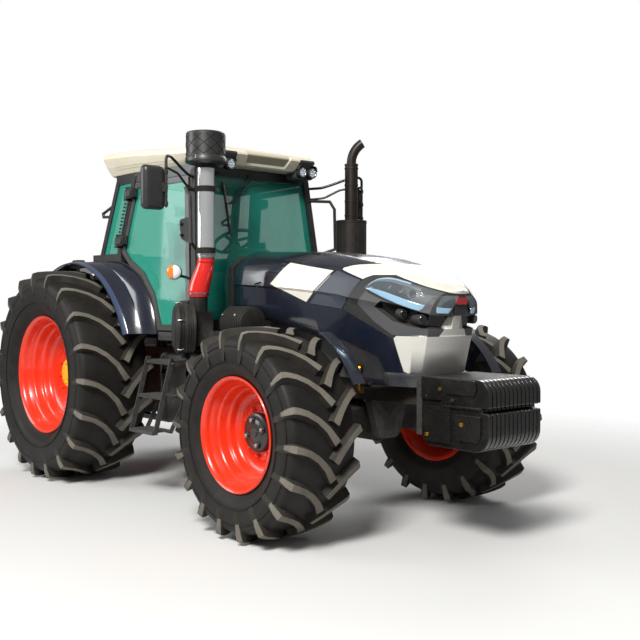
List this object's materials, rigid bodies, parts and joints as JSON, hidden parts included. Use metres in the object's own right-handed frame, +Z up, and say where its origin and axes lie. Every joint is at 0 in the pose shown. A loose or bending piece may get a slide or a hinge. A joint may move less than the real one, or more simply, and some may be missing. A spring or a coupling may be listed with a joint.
{
  "type": "farm tractor",
  "caption": "Dark blue and cream four-wheel-drive farm tractor with a closed glass cab, orange-red rims, front ballast weights, upright intake and exhaust stacks and a rear three-point hitch",
  "frame": {"origin": "centre of the footprint on the ground, under the tractor", "axes": "+X forward, the way the tractor drives; +Y to its left; +Z up"},
  "size_m": [5.44, 2.444, 2.95],
  "materials": {
    "tyre": "dusty ribbed rubber",
    "rim_paint": "gloss orange-red",
    "front_hub_paint": "satin black",
    "rear_hub_paint": "gloss yellow",
    "cast_black": "satin black paint",
    "black_plastic": "fine grain",
    "black_steel": "satin",
    "bright_steel": "machined",
    "hood_paint": "dark blue gloss with cream panels",
    "mesh": "pressed mesh",
    "lamp_lens": "clear",
    "signal_lens": "amber",
    "cab_black": "satin",
    "roof_cream": "satin moulded",
    "glass": "tinted clear",
    "seat_fabric": "woven",
    "wheel_rubber": "soft grip",
    "hose_red": "glossy silicone",
    "exhaust_metal": "dark bronze"
  },
  "bodies": {
    "tractor": {"front_axle": "cast_black", "rear_axle": "cast_black", "front_frame": "cast_black", "front_weights": "cast_black", "engine": "cast_black", "radiator": "cast_black", "transmission": "cast_black", "cab_frame": "cab_black", "cab_roof": "roof_cream", "cab_floor": "cab_black", "windscreen": "glass", "rear_glass": "glass", "fenders": "black_plastic", "seat": "seat_fabric", "console": "black_plastic", "intake_stack": "black_plastic", "intake_hose": "hose_red", "air_cleaner": "black_plastic", "exhaust": "exhaust_metal", "fuel_tank": "black_plastic", "battery_box": "black_plastic", "steps": "black_plastic", "mirrors": "black_plastic", "handrails": "black_steel", "work_lamps": "black_plastic", "signal_lamps": "signal_lens", "hitch_frame": "black_steel", "drawbar": "black_steel"},
    "bonnet": {"hood": "hood_paint", "nose_grille": "mesh", "side_grilles": "mesh", "headlamps": "lamp_lens"},
    "door_right_body": {"door_right": "cab_black", "door_glass_right": "glass"},
    "door_left_body": {"door_left": "cab_black", "door_glass_left": "glass"},
    "steer_right_body": {"knuckle_right": "cast_black", "wing_right": "black_plastic"},
    "steer_left_body": {"knuckle_left": "cast_black", "wing_left": "black_plastic"},
    "steering_body": {"steering_wheel": "wheel_rubber"},
    "lift_arm_body": {"lift_arms": "black_steel"},
    "lift_rod_body": {"lift_rods": "black_steel"},
    "lower_link_body": {"lower_links": "black_steel"},
    "top_link_body": {"top_link": "black_steel"},
    "pto_body": {"pto_shaft": "bright_steel"},
    "wheel_front_right": {"front_tyre_right": "tyre", "front_rim_right": "rim_paint", "front_hub_right": "front_hub_paint"},
    "wheel_front_left": {"front_tyre_left": "tyre", "front_rim_left": "rim_paint", "front_hub_left": "front_hub_paint"},
    "wheel_rear_right": {"rear_tyre_right": "tyre", "rear_rim_right": "rim_paint", "rear_hub_right": "rear_hub_paint"},
    "wheel_rear_left": {"rear_tyre_left": "tyre", "rear_rim_left": "rim_paint", "rear_hub_left": "rear_hub_paint"}
  },
  "joints": [
    {"name": "bonnet_hinge", "type": "hinge", "parent": "tractor", "child": "bonnet", "pos_m": [0.405, 0, 1.878], "axis": [0, -1, 0], "range_deg": [0, 50]},
    {"name": "door_left_hinge", "type": "hinge", "parent": "tractor", "child": "door_left_body", "pos_m": [-0.8549, 0.72278, 2.28], "axis": [0.2203, -0.0972, 0.9706], "range_deg": [0, 70]},
    {"name": "door_right_hinge", "type": "hinge", "parent": "tractor", "child": "door_right_body", "pos_m": [-0.8549, -0.72278, 2.28], "axis": [-0.2203, -0.0972, -0.9706], "range_deg": [0, 70]},
    {"name": "steer_right", "type": "hinge", "parent": "tractor", "child": "steer_right_body", "pos_m": [1.38, -0.72, 0.7], "axis": [0, 0, 1], "range_deg": [-30, 30]},
    {"name": "steer_left", "type": "hinge", "parent": "tractor", "child": "steer_left_body", "pos_m": [1.38, 0.72, 0.7], "axis": [0, 0, 1], "range_deg": [-30, 30]},
    {"name": "front_right_spin", "type": "hinge", "parent": "steer_right_body", "child": "wheel_front_right", "pos_m": [1.38, -0.952, 0.7], "axis": [0, 1, 0], "continuous": true},
    {"name": "front_left_spin", "type": "hinge", "parent": "steer_left_body", "child": "wheel_front_left", "pos_m": [1.38, 0.952, 0.7], "axis": [0, 1, 0], "continuous": true},
    {"name": "rear_right_spin", "type": "hinge", "parent": "tractor", "child": "wheel_rear_right", "pos_m": [-1.52, -0.89, 0.918], "axis": [0, 1, 0], "continuous": true},
    {"name": "rear_left_spin", "type": "hinge", "parent": "tractor", "child": "wheel_rear_left", "pos_m": [-1.52, 0.89, 0.918], "axis": [0, 1, 0], "continuous": true},
    {"name": "steering_wheel_turn", "type": "hinge", "parent": "tractor", "child": "steering_body", "pos_m": [-0.25, 0, 2.08], "axis": [-0.5, 0, 0.866], "continuous": true},
    {"name": "lift_arm_turn", "type": "hinge", "parent": "tractor", "child": "lift_arm_body", "pos_m": [-1.71, 0, 1.23], "axis": [0, 1, 0], "range_deg": [-8, 30]},
    {"name": "lift_rod_turn", "type": "hinge", "parent": "lift_arm_body", "child": "lift_rod_body", "pos_m": [-2.1277, 0, 1.1861], "axis": [0, 1, 0], "range_deg": [-32, 10]},
    {"name": "lower_link_turn", "type": "hinge", "parent": "tractor", "child": "lower_link_body", "pos_m": [-1.71, 0, 0.6], "axis": [0, 1, 0], "range_deg": [-8, 30]},
    {"name": "top_link_turn", "type": "hinge", "parent": "tractor", "child": "top_link_body", "pos_m": [-1.89, 0, 1.06], "axis": [0, -1, 0], "range_deg": [0, 95]},
    {"name": "pto_turn", "type": "hinge", "parent": "tractor", "child": "pto_body", "pos_m": [-1.86, 0, 0.76], "axis": [1, 0, 0], "continuous": true}
  ],
  "couplings": [
    {"joint": "steer_left", "follows": "steer_right", "ratio": 1},
    {"joint": "lower_link_turn", "follows": "lift_arm_turn", "ratio": 1},
    {"joint": "lift_rod_turn", "follows": "lift_arm_turn", "ratio": -1}
  ]
}
